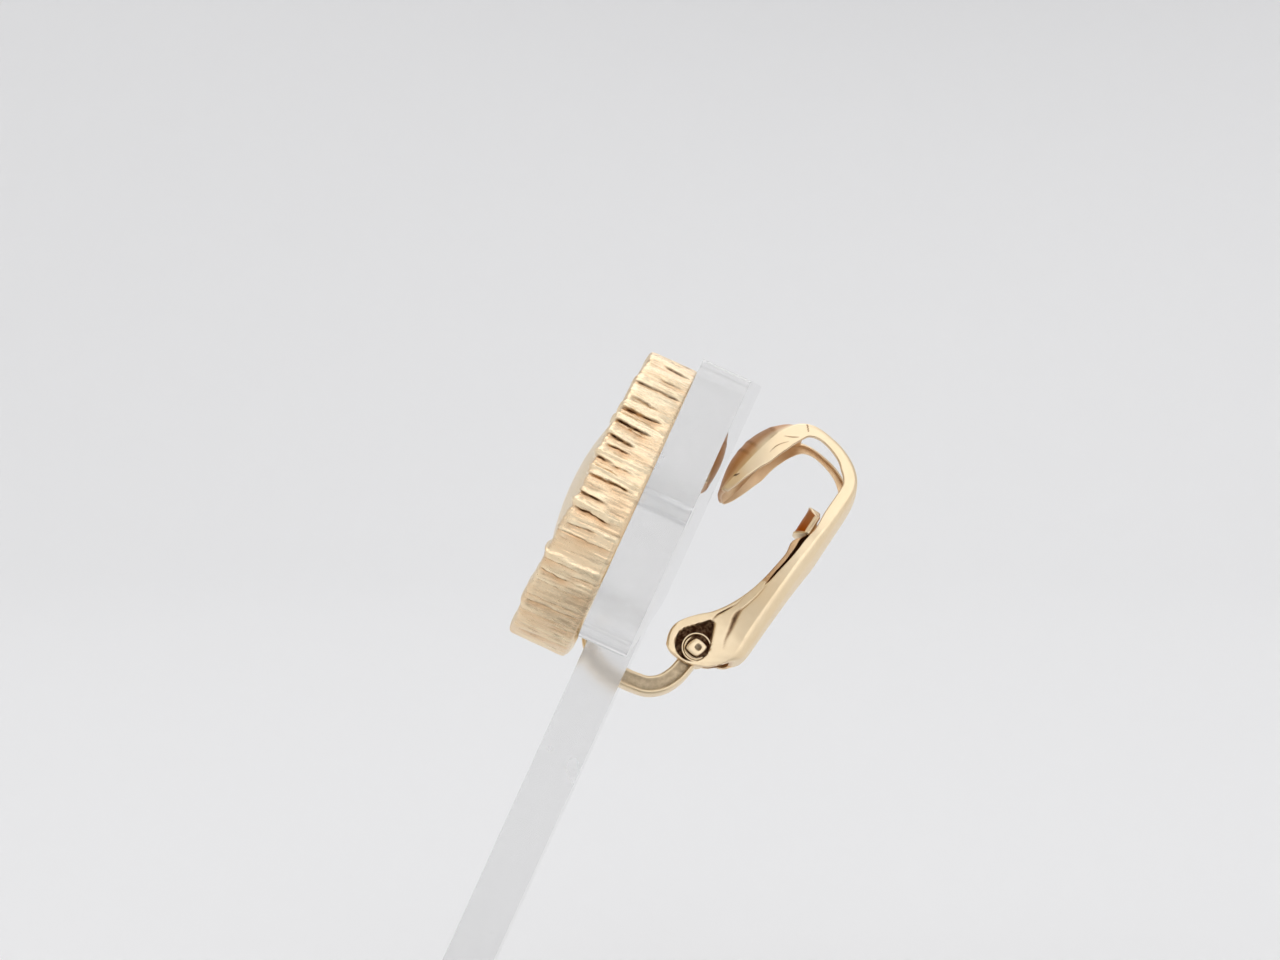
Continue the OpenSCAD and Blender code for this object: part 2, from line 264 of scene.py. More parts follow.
def along_button(tree, scale):
    """Object coordinates turned into the button's frame, in mm, stretched by scale."""
    place = add(tree, "TexCoord").outputs["Object"]
    back = ON_EARRING.T
    turned = add(tree, "Mapping", {
        "Vector": place, "Rotation": Matrix(back.tolist()).to_euler(),
        "Location": (-back @ BUTTON_AT * MM).tolist()})
    return add(tree, "Mapping", {"Vector": turned.outputs[0],
                                 "Scale": [s / MM for s in scale]}).outputs[0]


# %% The plated finishes
def plated_gold(name, pale, deep, warm, dark, roughness, grain, grain_per_mm, grain_mm):
    """Plated metal. A slow noise mixes its pale gold and its deep one. The mark 'warm' mixes
    in the redder colour of a painted reflection of gold in gold and of a warmer painted
    shade, and on the casting also of wear to its brass. The shade mark mixes in the dark
    colour as painted shade in grooves, slits and corners, in spots. A fine noise of
    grain_per_mm spots a millimetre spreads the roughness between two values, and is a bump
    grain_mm high, of which grain is the share that shows."""
    finish, tree, out = new_finish(name)
    painted_shade = add(tree, "Attribute", attribute_name="painted_shade").outputs["Fac"]
    warm_wear_and_reflection = add(tree, "Attribute", attribute_name="warm").outputs["Fac"]
    slow = add(tree, "TexNoise", {"Vector": along_button(tree, (0.5, 0.5, 0.5)),
                                  "Scale": 1.0, "Detail": 2.0}).outputs["Fac"]
    fine = add(tree, "TexNoise", {"Vector": along_button(tree, grain_per_mm), "Scale": 1.0,
                                  "Detail": 4.0, "Roughness": 0.6}).outputs["Fac"]
    plate = add(tree, "Mix", {0: slow, 6: hex_colour(pale), 7: hex_colour(deep)},
                data_type="RGBA").outputs[2]
    tone = add(tree, "Mix", {0: warm_wear_and_reflection, 6: plate, 7: hex_colour(warm)},
               data_type="RGBA").outputs[2]
    spots = add(tree, "MapRange", {"Value": fine, "From Min": 0.3, "From Max": 0.6,
                                   "To Min": 0.8, "To Max": 1.1}).outputs[0]
    # Painted shade of grooves and corners, spotted by the fine noise
    spotted_shade = add(tree, "Math", {0: painted_shade, 1: spots}, operation="MULTIPLY",
               use_clamp=True).outputs[0]
    colour = add(tree, "Mix", {0: spotted_shade, 6: tone, 7: hex_colour(dark)},
                 data_type="RGBA").outputs[2]
    rough = add(tree, "MapRange", {"Value": fine, "From Min": 0.3, "From Max": 0.75,
                                   "To Min": roughness[0], "To Max": roughness[1]}).outputs[0]
    # The painted shade adds up to a quarter to the roughness
    rougher = add(tree, "Math", {0: spotted_shade, 1: 0.25, 2: rough},
                  operation="MULTIPLY_ADD").outputs[0]
    bump = add(tree, "Bump", {"Height": fine, "Strength": grain, "Distance": grain_mm * MM})
    shader = add(tree, "BsdfPrincipled", {"Base Color": colour, "Metallic": 1.0,
                                          "Roughness": rougher, "Normal": bump.outputs[0]})
    tree.links.new(shader.outputs[0], out.inputs["Surface"])
    print(f"{name}: roughness {roughness}, grain {grain_mm} mm high")
    return finish


# The casting's grain is drawn out: its spots are an eleventh of a millimetre wide, and
# half a millimetre long from front to back. The real polish of the stamped pieces is too
# fine to show, so it is drawn a third and a fifth of a millimetre wide.
# In each finish, warm is the colour of painted reflection and warmer painted shade, and of wear on
# the casting, and dark is the colour of painted shade.
cast_gold = plated_gold(
    "plated_casting", pale="#FFEFCF", deep="#FBE0B8", warm="#E3B689", dark="#4E2E14",
    roughness=(0.18, 0.32), grain=0.7, grain_per_mm=(11.0, 2.0, 11.0), grain_mm=0.03)
stamped_gold = plated_gold(
    "plated_stamping", pale="#F9E6C6", deep="#F3DAB2", warm="#CE935A", dark="#3C2010",
    roughness=(0.30, 0.42), grain=0.25, grain_per_mm=(3.0, 3.0, 3.0), grain_mm=0.01)
# The spring's warm colour is a deep orange, for the painted reflection of the button's gold on the
# tab
spring_gold = plated_gold(
    "plated_spring", pale="#F9E6C6", deep="#F3DAB2", warm="#CC7418", dark="#5A3010",
    roughness=(0.28, 0.38), grain=0.3, grain_per_mm=(5.0, 5.0, 5.0), grain_mm=0.01)

# %% [markdown]
# ## Clear acrylic
# The stand is sawn from clear acrylic sheet. The sheet's faces keep the polish that it was
# cast with, and the sawn edges are scraped to a satin, which is why the crossbar's end
# looks white and soft instead of glassy. One finish does both: it measures how far a
# point is from the sheet's middle plane, and treats only the two faces as polished.

# %% The acrylic finish
# The sawn edges' roughness, from their smoothest spot to their roughest, and the share of
# the light that they let through
SAWN_ROUGHNESS, SAWN_CLEAR = (0.2, 0.28), 0.75
# A point this near to a face, in mm, is on it
FACE_SKIN = 0.02


def clear_sheet(name, tint, normal, at_mm, half_mm):
    """Clear plastic. A point is on a face where its distance from the middle plane,
    the dot product of its place and the normal less at_mm, is the half thickness."""
    finish, tree, out = new_finish(name)
    place = add(tree, "TexCoord").outputs["Object"]
    # Rubbed patches about 4 mm wide
    marks = add(tree, "TexNoise", {"Vector": place, "Scale": 0.25 / MM, "Detail": 3.0}).outputs[0]
    polish = add(tree, "MapRange", {"Value": marks, "From Min": 0.45, "From Max": 0.75,
                                    "To Min": 0.0, "To Max": 0.02}).outputs[0]
    sawn = add(tree, "MapRange", {"Value": marks, "From Min": 0.3, "From Max": 0.7,
                                  "To Min": SAWN_ROUGHNESS[0],
                                  "To Max": SAWN_ROUGHNESS[1]}).outputs[0]
    across = add(tree, "VectorMath", {0: place, 1: normal},
                 operation="DOT_PRODUCT").outputs["Value"]
    off = add(tree, "Math", {0: across, 1: at_mm * MM}, operation="SUBTRACT").outputs[0]
    away = add(tree, "Math", {0: off}, operation="ABSOLUTE").outputs[0]
    face = add(tree, "Math", {0: away, 1: (half_mm - FACE_SKIN) * MM},
               operation="GREATER_THAN").outputs[0]
    rough = add(tree, "Mix", {0: face, 2: sawn, 3: polish}, data_type="FLOAT").outputs[0]
    clear = add(tree, "Mix", {0: face, 2: SAWN_CLEAR, 3: 1.0}, data_type="FLOAT").outputs[0]
    shader = add(tree, "BsdfPrincipled", {
        "Base Color": hex_colour(tint), "Roughness": rough, "IOR": 1.49,
        "Transmission Weight": clear})
    tree.links.new(shader.outputs[0], out.inputs["Surface"])
    print(f"{name}: middle plane {at_mm:.2f} mm along", np.round(normal, 3))
    return finish


# %% The plate and the base
# The plate's thickness, and how far its front face is behind the button's back
PLATE_T, PLATE_FRONT = 3.0, 1.35
plate_normal = ON_PLATE @ [0.0, 1.0, 0.0]
plate_middle = float(plate_normal @ BUTTON_AT) + PLATE_FRONT + PLATE_T / 2
acrylics = {
    "stand_plate": clear_sheet("clear_plate", "#FDFDFD", plate_normal.tolist(),
                               plate_middle, PLATE_T / 2),
    "stand_base": clear_sheet("clear_base", "#FDFDFD", (0.0, 0.0, 1.0),
                              PLATE_T / 2, PLATE_T / 2)}
for name, clear in acrylics.items():
    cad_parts[name].data.materials.clear()
    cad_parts[name].data.materials.append(clear)

# %% [markdown]
# ## The cast button
# The rim is covered in bark-like flutes that run from front to back, each a little
# different. It could be sculpted, or displaced by a picture. Here a table of lines
# carves it: each groove or ridge is a dent or a rise along its own short line, so every
# flute has a place and a depth that can be read and changed.

# %% The lines on the rim
# [angle at its front end, angle at its back end, front end, back end, height, half width]
# Angles in degrees and heights in mm, negative for a groove. Ends are mm in front of the back.
RIM_LINES = np.array([
    [60.5, 58.5, 3.6, 0.2, 0.08, 1.6], [55.6, 52.3, 2.3, 0.2, -0.26, 1.2],
    [47.5, 46.0, 3.6, 0.2, 0.05, 1.8], [43.3, 41.8, 2.1, 0.2, -0.12, 0.8],
    [41.2, 40.0, 3.4, 0.4, -0.05, 0.5], [39.0, 37.8, 3.6, 0.1, 0.10, 1.3],
    [35.7, 35.0, 3.7, 0.0, -0.22, 1.2], [32.0, 30.5, 3.7, 0.2, 0.07, 1.8],
    [27.6, 26.4, 3.5, 1.3, -0.14, 0.7], [25.0, 24.0, 3.7, 0.3, 0.05, 1.0],
    [23.0, 22.6, 3.9, 0.4, 0.08, 0.7], [21.4, 21.0, 3.8, 0.7, -0.26, 0.7],
    [17.4, 16.4, 3.9, 0.2, 0.12, 1.0], [15.4, 14.6, 3.9, 1.0, -0.26, 0.8],
    [13.9, 13.0, 3.7, 1.1, -0.10, 0.5], [10.4, 10.0, 3.9, 2.8, 0.06, 0.5],
    [9.2, 8.0, 3.9, 1.7, -0.26, 0.8], [5.2, 4.6, 3.7, 1.7, -0.22, 0.7],
    [2.0, 1.7, 4.1, 0.0, 0.14, 0.9], [-0.2, -0.6, 4.0, 2.6, -0.24, 0.9],
    [-1.3, -1.3, 2.8, 0.9, -0.14, 0.5], [-3.2, -3.5, 4.0, 1.9, -0.07, 0.4],
    [-4.2, -5.1, 4.1, 0.1, 0.15, 0.8], [-6.7, -7.5, 3.9, 0.6, -0.24, 0.7],
    [-8.8, -9.2, 2.2, 0.4, -0.06, 0.4], [-10.6, -10.6, 3.8, 2.2, -0.06, 0.5],
    [-13.8, -14.6, 4.0, 1.9, -0.20, 1.2], [-17.2, -18.6, 4.3, 0.3, 0.16, 0.9],
    [-19.5, -20.4, 3.8, 1.1, -0.26, 0.7], [-23.6, -23.6, 3.3, 1.5, -0.06, 0.7],
    [-25.9, -25.2, 3.9, 1.6, -0.15, 0.7], [-24.5, -24.7, 1.9, 0.2, 0.10, 0.5],
    [-29.2, -29.3, 4.4, 0.2, -0.12, 0.4], [-31.2, -31.2, 4.0, 3.3, -0.12, 0.6],
    [-38.8, -39.2, 4.6, 0.1, 0.15, 1.0], [-40.9, -41.0, 4.3, 1.6, -0.12, 0.5],
    [-43.4, -43.2, 2.2, 0.3, -0.10, 0.5], [-45.7, -46.2, 4.3, 2.1, -0.22, 0.8],
    [-45.8, -45.8, 1.7, 0.3, 0.08, 0.5], [-50.5, -50.6, 4.3, 0.5, -0.07, 0.4],
    [-58.2, -58.0, 4.4, 0.2, -0.10, 0.6], [-61.4, -60.6, 4.2, 0.2, -0.14, 1.3],
    [-67.8, -66.2, 4.3, 0.3, -0.07, 0.5], [-69.9, -68.6, 2.0, 0.2, -0.12, 0.6],
    [-78.4, -76.4, 4.1, 0.2, -0.14, 0.7], [-84.0, -82.0, 4.0, 0.3, -0.12, 1.6],
    [-92.0, -91.0, 4.2, 0.3, 0.06, 1.5], [-97.0, -96.0, 4.1, 0.4, -0.18, 1.3],
    [-104.0, -103.0, 4.2, 0.2, -0.12, 0.8], [72.0, 70.0, 3.5, 0.3, -0.14, 1.4],
    [65.0, 64.0, 3.4, 0.9, -0.10, 0.8], [80.0, 79.0, 3.5, 0.2, 0.06, 1.6]])
# The other half of the rim has the same flutes, turned half round and shortened a little,
# as a mould cut by hand repeats its strokes
FAR_LINES = RIM_LINES * [1, 1, 0.96, 1, 0.95, 1.05] + [180, 180, 0, 0, 0, 0]
ALL_LINES = np.concatenate([RIM_LINES, FAR_LINES])
print("lines on the rim:", len(ALL_LINES))

# %% [markdown]
# ### Noise for a mould that was cut by hand
# A line cut by hand wanders, and the tool's force varies. Both come from noise here, out
# of random tables with fixed seeds, so that each run cuts the same button.

# %% The rim's noise
# Each noise: [cell round the rim in degrees, cell along it in mm, seed, strength]. The first
# two move a line by degrees, force varies its cut, swell and grit are heights in mm, the
# sixth varies the gold's warmth at random as wear does, and strokes are the fine lines that
# run with the flutes.
NOISES = {"wander": (1.5, 0.8, 3, 0.3), "tremble": (0.6, 0.25, 5, 0.2),
          "force": (1.5, 0.3, 7, 0.45), "swell": (3.0, 2.5, 11, 0.03),
          "grit": (0.6, 1.2, 13, 0.012), "wear_and_reflection": (2.5, 1.5, 17, 0.2),
          "strokes": (0.9, 1.8, 19, 1.0)}


def ragged(kind, angle, depth):
    """Smooth noise round zero that closes round the button: random values at the corners
    of its kind's cells, mixed by smooth steps inside each cell, times its strength."""
    cell_a, cell_d, seed, strength = NOISES[kind]
    across, along = round(360 / cell_a), int(6 / cell_d) + 2
    table = np.random.default_rng(seed).uniform(-1, 1, (across, along))
    u = (angle % 360) / 360 * across
    v = np.clip((depth + 0.5) / cell_d, 0, along - 1.01)
    i, j = np.floor(u).astype(int), np.floor(v).astype(int)
    u, v, k = smooth_step(u - i), smooth_step(v - j), (i + 1) % across
    i = i % across
    return strength * ((table[i, j] * (1 - u) + table[k, j] * u) * (1 - v)
                       + (table[i, j + 1] * (1 - u) + table[k, j + 1] * u) * v)


# %% The carving
# A groove this deep, in mm, has the whole step and painted shade, and others have their share
FULL_GROOVE = 0.26
# Heights in mm of a full groove's lip, hollow and cut
LIP, HOLLOW, CUT = 0.09, 0.12, 0.11
# Degrees over which the lip and the hollow fall off to about a third
LIP_FALL, HOLLOW_FALL = 1.4, 1.9
# Height in mm of the fine strokes
STROKE = 0.034


def rim_relief(angle, depth):
    """Height, painted shade and warmth of the carving at an angle and depth, the warmth being
    random wear and painted reflection. A ridge is a bell across its line, painted paler as a
    highlight. A groove is a step like a saw's tooth: a lip above it that falls off along an
    exponential and is painted paler as a highlight, a hollow below it that does the same and
    is painted warm as a reflection and a little dark as shade, and a cut between them painted
    dark as shade. Noise shakes the angle first, so that each line wanders."""
    angle, depth = np.broadcast_arrays(angle, depth)
    wander, tremble, force, swell, grit, wear_and_reflection = (
        ragged(kind, angle, depth)
        for kind in ("wander", "tremble", "force", "swell", "grit", "wear_and_reflection"))
    shaken = angle + wander + tremble
    strokes = ragged("strokes", shaken, depth)
    height = swell + grit + STROKE * strokes
    # Painted shade starts in the deepest fine strokes, and the warmth starts from the random wear
    dark, warm = 0.6 * np.maximum(-strokes - 0.45, 0), 0.25 + wear_and_reflection
    for front_a, back_a, front, back, rise, half in ALL_LINES:
        # Share of the way along the line, which is carried on a little past both its ends
        share = np.clip((front - depth) / (front - back), -0.1, 1.1)
        off = (shaken - front_a - (back_a - front_a) * share + 180) % 360 - 180
        ends = smooth_step((front + 0.1 - depth) / 0.5) * smooth_step((depth - back + 0.2) / 0.9)
        if rise > 0:
            bell = ends * np.exp(-((off / half) ** 2))
            height += rise * bell
            # A ridge is painted paler, as a highlight
            warm -= 0.6 * bell
            continue
        size, above = -rise / FULL_GROOVE * ends, 0.5 + 0.5 * np.tanh(off / 0.2)
        lip = above * np.exp(-np.maximum(off, 0) / LIP_FALL)
        hollow = (1 - above) * np.exp(-np.maximum(-off, 0) / HOLLOW_FALL)
        cut = np.exp(-((off + 0.1) / (0.34 * half)) ** 2) * (0.85 + force)
        height += size * (LIP * lip - HOLLOW * hollow - CUT * cut)
        # Painted shade in the cut and the hollow, a painted warm reflection in the hollow, and a
        # paler painted highlight on the lip
        dark += size * (0.95 * cut + 0.10 * hollow)
        warm += size * (0.85 * hollow - 0.8 * lip)
    return height, np.clip(dark, 0, 1), np.clip(warm, 0, 1)


# %% [markdown]
# ### One turned surface
# The casting is one turned surface: columns go round the button, and rows go from the
# middle of the flat back over the rim, the border, the groove inside it and the dome.

# %% The button's sizes and its rim
# Radius over the flutes, the border's width, the dome's height and its curve's radius
BUTTON_R, BORDER_W, DOME_H, DOME_R = 11.1, 2.4, 4.9, 17.8
# Columns are close enough for a flute to have a dozen, and rows for its ends to fade
COLUMNS_ROUND, RIM_ROWS, BORDER_ROWS, DOME_ROWS = 1640, 32, 7, 9
# Radii of the rings on the flat back
BACK_RINGS = np.array([[0.0], [7.5], [10.2]])
# Radii of the rim's rounded edges, at its back and at its front
BACK_EDGE, FRONT_EDGE = 0.18, 0.3
# The groove between the border and the dome: [radius past the border's inner one, depth]
MOAT = np.array([[-0.05, 3.3], [-0.2, 3.1], [-0.45, 3.1], [-0.65, 3.25]])


def rim_depth(angle):
    """Depth of the rim round the button: a slow wave for the tilt, and two short ones."""
    a = np.radians(angle)
    return (4.1 - 0.5 * np.sin(a + np.radians(15)) + 0.06 * np.sin(5 * a)
            + 0.05 * np.sin(11 * a + np.radians(40)))


def edge_drop(distance, radius):
    """How far a rounded edge falls below the flat at a distance from it: a quarter circle."""
    short = np.clip(radius - distance, 0, radius)
    return radius - np.sqrt(radius**2 - short**2)


angle = np.arange(COLUMNS_ROUND) * 360 / COLUMNS_ROUND
back_y = 0.14 - 0.15 * np.sin(np.radians(angle + 10))
front_y = rim_depth(angle)
# The carving runs out over the front edge, which it moves by a little more than its height
front_y = front_y + 1.1 * rim_relief(angle, front_y - FRONT_EDGE)[0]
rows = np.linspace(0, 1, RIM_ROWS)[:, None]
share = (smooth_step(rows) + 2 * rows) / 3
depth = back_y + (front_y - back_y) * share
relief, groove_shade, wear_and_reflection = rim_relief(angle[None, :], depth)
rim_r = (BUTTON_R - 0.1 + relief - edge_drop(depth - back_y, BACK_EDGE)
         - edge_drop(front_y - depth, FRONT_EDGE))
print("rim's radius, mm:", rim_r.min().round(2), "to", rim_r.max().round(2))

# %% The border, the dome and the whole casting
inner_r = BUTTON_R - BORDER_W
at_front = relief[-1]
inward = np.linspace(0, 1, BORDER_ROWS + 1)[1:, None]
border_r = rim_r[-1] + (inner_r + 0.1 - rim_r[-1]) * inward
# The border is crowned, falls away at its inner edge and carries the carving inward
border_y = (front_y + 0.05 * np.sin(np.pi * inward) - 0.3 * inward**4
            + 0.6 * at_front * (1 - 0.6 * inward))
dome_r = (inner_r - 0.8) * (1 - np.linspace(0, 1, DOME_ROWS)[:, None] ** 1.2) + 0 * angle
around = np.radians(angle)
ripple = 0.02 * np.sin(dome_r * 1.7 + around * 3) * smooth_step(dome_r / 4)
dome_y = DOME_H - DOME_R + np.sqrt(DOME_R**2 - dome_r**2) + ripple
whole = np.ones((1, COLUMNS_ROUND))
ring_r = np.concatenate([BACK_RINGS * whole, rim_r[:1] - 0.12, rim_r, border_r,
                         (inner_r + MOAT[:, :1]) * whole, dome_r])
ring_y = np.concatenate([0 * BACK_RINGS * whole, back_y[None] * 0.6, depth, border_y,
                         MOAT[:, 1:] * whole, dome_y])
casting = np.stack([ring_r * np.cos(around), -ring_y, ring_r * np.sin(around)], -1)

first_rim = len(BACK_RINGS) + 1
first_border = first_rim + RIM_ROWS
first_moat = first_border + BORDER_ROWS
# Painted shade in the rim's grooves, on the border where the carving cuts it, and in the groove
# round the dome; on the rim, warmth of wear and painted reflection
painted_shade, warm_wear_and_reflection = np.zeros(ring_r.shape), np.zeros(ring_r.shape)
painted_shade[first_rim:first_border], warm_wear_and_reflection[first_rim:first_border] = groove_shade, wear_and_reflection
painted_shade[first_border:first_moat] = np.clip(-at_front / 0.25, 0, 1) * 0.5
painted_shade[first_moat:-DOME_ROWS] = 0.7
piece("button_casting", (casting.reshape(-1, 3), grid_faces(*casting.shape[:2], wrap=True)),
      earring_to_world, cast_gold, "stand", ["button"],
      {"painted_shade": painted_shade.ravel(), "warm": warm_wear_and_reflection.ravel()}, sharp=60)

# %% [markdown]
# ## The clip's frame
# A strip is soldered to the button's back, and its lower end is bent round below the
# plate to carry the hinge. Three kinds of surface are enough for it: boxes with rounded
# edges, rings turned round the hinge, and a profile carried along a bent path.

# %% Rounded boxes, turned rings and carried profiles
def round_angles(count):
    """Angles in radians, evenly spaced once round."""
    return np.arange(count) * 2 * np.pi / count


def squared(value, power):
    """A number from -1 to 1 raised to a power, with its sign kept. Done to a circle's cosine
    and sine, a power below 1 gives a rounded square and 2 gives a rhombus."""
    return np.sign(value) * np.abs(value) ** power


def round_box(half, corner, count):
    """A box of the given half sizes with rounded edges: a cube's grid pushed out from an
    inner box by the corner's radius, along each point's own direction."""
    half = np.array(half)
    side = np.linspace(-1, 1, count)
    u, v = np.meshgrid(side, side, indexing="ij")
    points, faces = [], []
    for axis in range(3):
        for sign in (-1, 1):
            cube = np.empty((count, count, 3))
            cube[..., axis] = sign
            cube[..., (axis + 1) % 3] = u
            cube[..., (axis + 2) % 3] = v
            at = squared(cube, 0.35) * half
            core = np.clip(at, corner - half, half - corner)
            out = at - core
            out /= np.maximum(np.linalg.norm(out, axis=-1, keepdims=True), 1e-9)
            quads = grid_faces(count, count) + count * count * len(points)
            points.append((core + out * corner).reshape(-1, 3))
            faces.append(quads if sign > 0 else quads[:, ::-1])
    return np.concatenate(points), np.concatenate(faces)


def turned_ring(profile, count):
    """A profile of (radius, place along X) carried once round the hinge's axis."""
    profile = np.asarray(profile, float)
    turn = round_angles(count)
    grid = np.stack([
        np.broadcast_to(profile[:, 1:], (len(profile), count)),
        HINGE[0] + profile[:, :1] * np.cos(turn), HINGE[1] + profile[:, :1] * np.sin(turn)], -1)
    closed = np.concatenate([grid, grid[:1]])
    return closed.reshape(-1, 3), grid_faces(len(closed), count, wrap=True)


def carried(path, profile):
    """A profile of (across, out) points carried along a path in the clip's side plane, out
    being to the left of the way along, with both ends closed by their middle point."""
    way = np.gradient(path, axis=0)
    way /= np.linalg.norm(way, axis=1, keepdims=True)
    left = np.stack([-way[:, 1], way[:, 0]], -1)
    flat = path[:, None, :] + profile[None, :, 1:2] * left[:, None, :]
    across = np.broadcast_to(profile[None, :, 0], flat.shape[:2])
    grid = np.concatenate([across[..., None], flat], -1)
    ends = [np.broadcast_to(grid[k].mean(0), grid[k].shape)[None] for k in (0, -1)]
    grid = np.concatenate([ends[0], grid, ends[1]])
    return grid.reshape(-1, 3), grid_faces(*grid.shape[:2], wrap=True)


# %% [markdown]
# ### Foot, arm and knuckle
# Stamping leaves a raised rim along both edges of the strip. So the arm's profile is a
# rounded bar with hollow sides, and the foot is a flat strip with a low wall each side.

# %% The arm
# The arm's middle line: [distance behind the button, height]
ARM_LINE = [
    [0.55, -6.50], [0.65, -8.60], [1.30, -9.80], [2.50, -10.50], [3.80, -10.80],
    [4.90, -10.82], [5.80, -10.70], [6.60, -10.20], [7.15, -9.45], [7.48, -8.60],
    [7.85, -7.04]]
ARM_W, ARM_T, ARM_HOLLOW = 1.7, 1.3, 0.14

arm_path = evenly(ARM_LINE, 110)
turn = round_angles(72)
bar = squared(np.stack([np.cos(turn), np.sin(turn)], -1), 0.32)
hollow = (smooth_step((np.abs(bar[:, 0]) - 0.8) / 0.15)
          * smooth_step((0.74 - np.abs(bar[:, 1])) / 0.3))
arm_profile = bar * [ARM_W / 2, ARM_T / 2]
arm_profile[:, 0] -= np.sign(bar[:, 0]) * ARM_HOLLOW * hollow
arm = carried(arm_path, arm_profile)
# Painted shade in the arm's hollow sides. The two more rows are the closed ends
arm_shade = np.tile(0.45 * hollow, len(arm_path) + 2)

# %% The foot, the knuckle and the whole frame
# The foot, and the low wall along each side of it: half sizes, edge radius and middle
FOOT, FOOT_ROUND, FOOT_AT = (1.5, 0.3, 6.0), 0.12, [0, 0.28, -2.6]
WALL, WALL_ROUND, WALL_AT = (0.3, 0.52, 5.9), 0.1, [1.2, 0.5, -2.6]
# Half of the knuckle's section, from its bore to its outside: [radius, place along X]
KNUCKLE = np.array([[0.56, -0.80], [0.60, -0.84], [1.08, -0.84], [1.15, -0.78]])


def moved(shape, offset):
    """The same (points, faces), with its points moved."""
    return shape[0] + offset, shape[1]


foot = moved(round_box(FOOT, FOOT_ROUND, 12), FOOT_AT)
walls = [moved(round_box(WALL, WALL_ROUND, 12), np.multiply(WALL_AT, [side, 1, 1]))
         for side in (-1, 1)]
knuckle = turned_ring(np.concatenate([KNUCKLE, KNUCKLE[::-1] * [1, -1]]), 64)
on_clip = [(clip_to_earring(points), faces) for points, faces in (arm, knuckle)]
frame_shade = np.concatenate([
    np.zeros(sum(len(points) for points, _ in (foot, *walls))), arm_shade,
    np.zeros(len(knuckle[0]))])
piece("clip_frame", joined(foot, *walls, *on_clip), earring_to_world, stamped_gold, "stand",
      ["button"], {"painted_shade": frame_shade}, sharp=40)

# %% [markdown]
# ## The lever
# The lever is one strip of sheet, bent into a channel with an ear each side of the
# hinge, a bulged body, a curl with a long window, and a pad with turned-back edges. A
# table of ribs describes it, like the ribs of a boat: each rib says where the side's
# free edge and the back's corner lie, how wide the channel is at both, how tight the
# corner is bent, and how far the back swells between its corners.

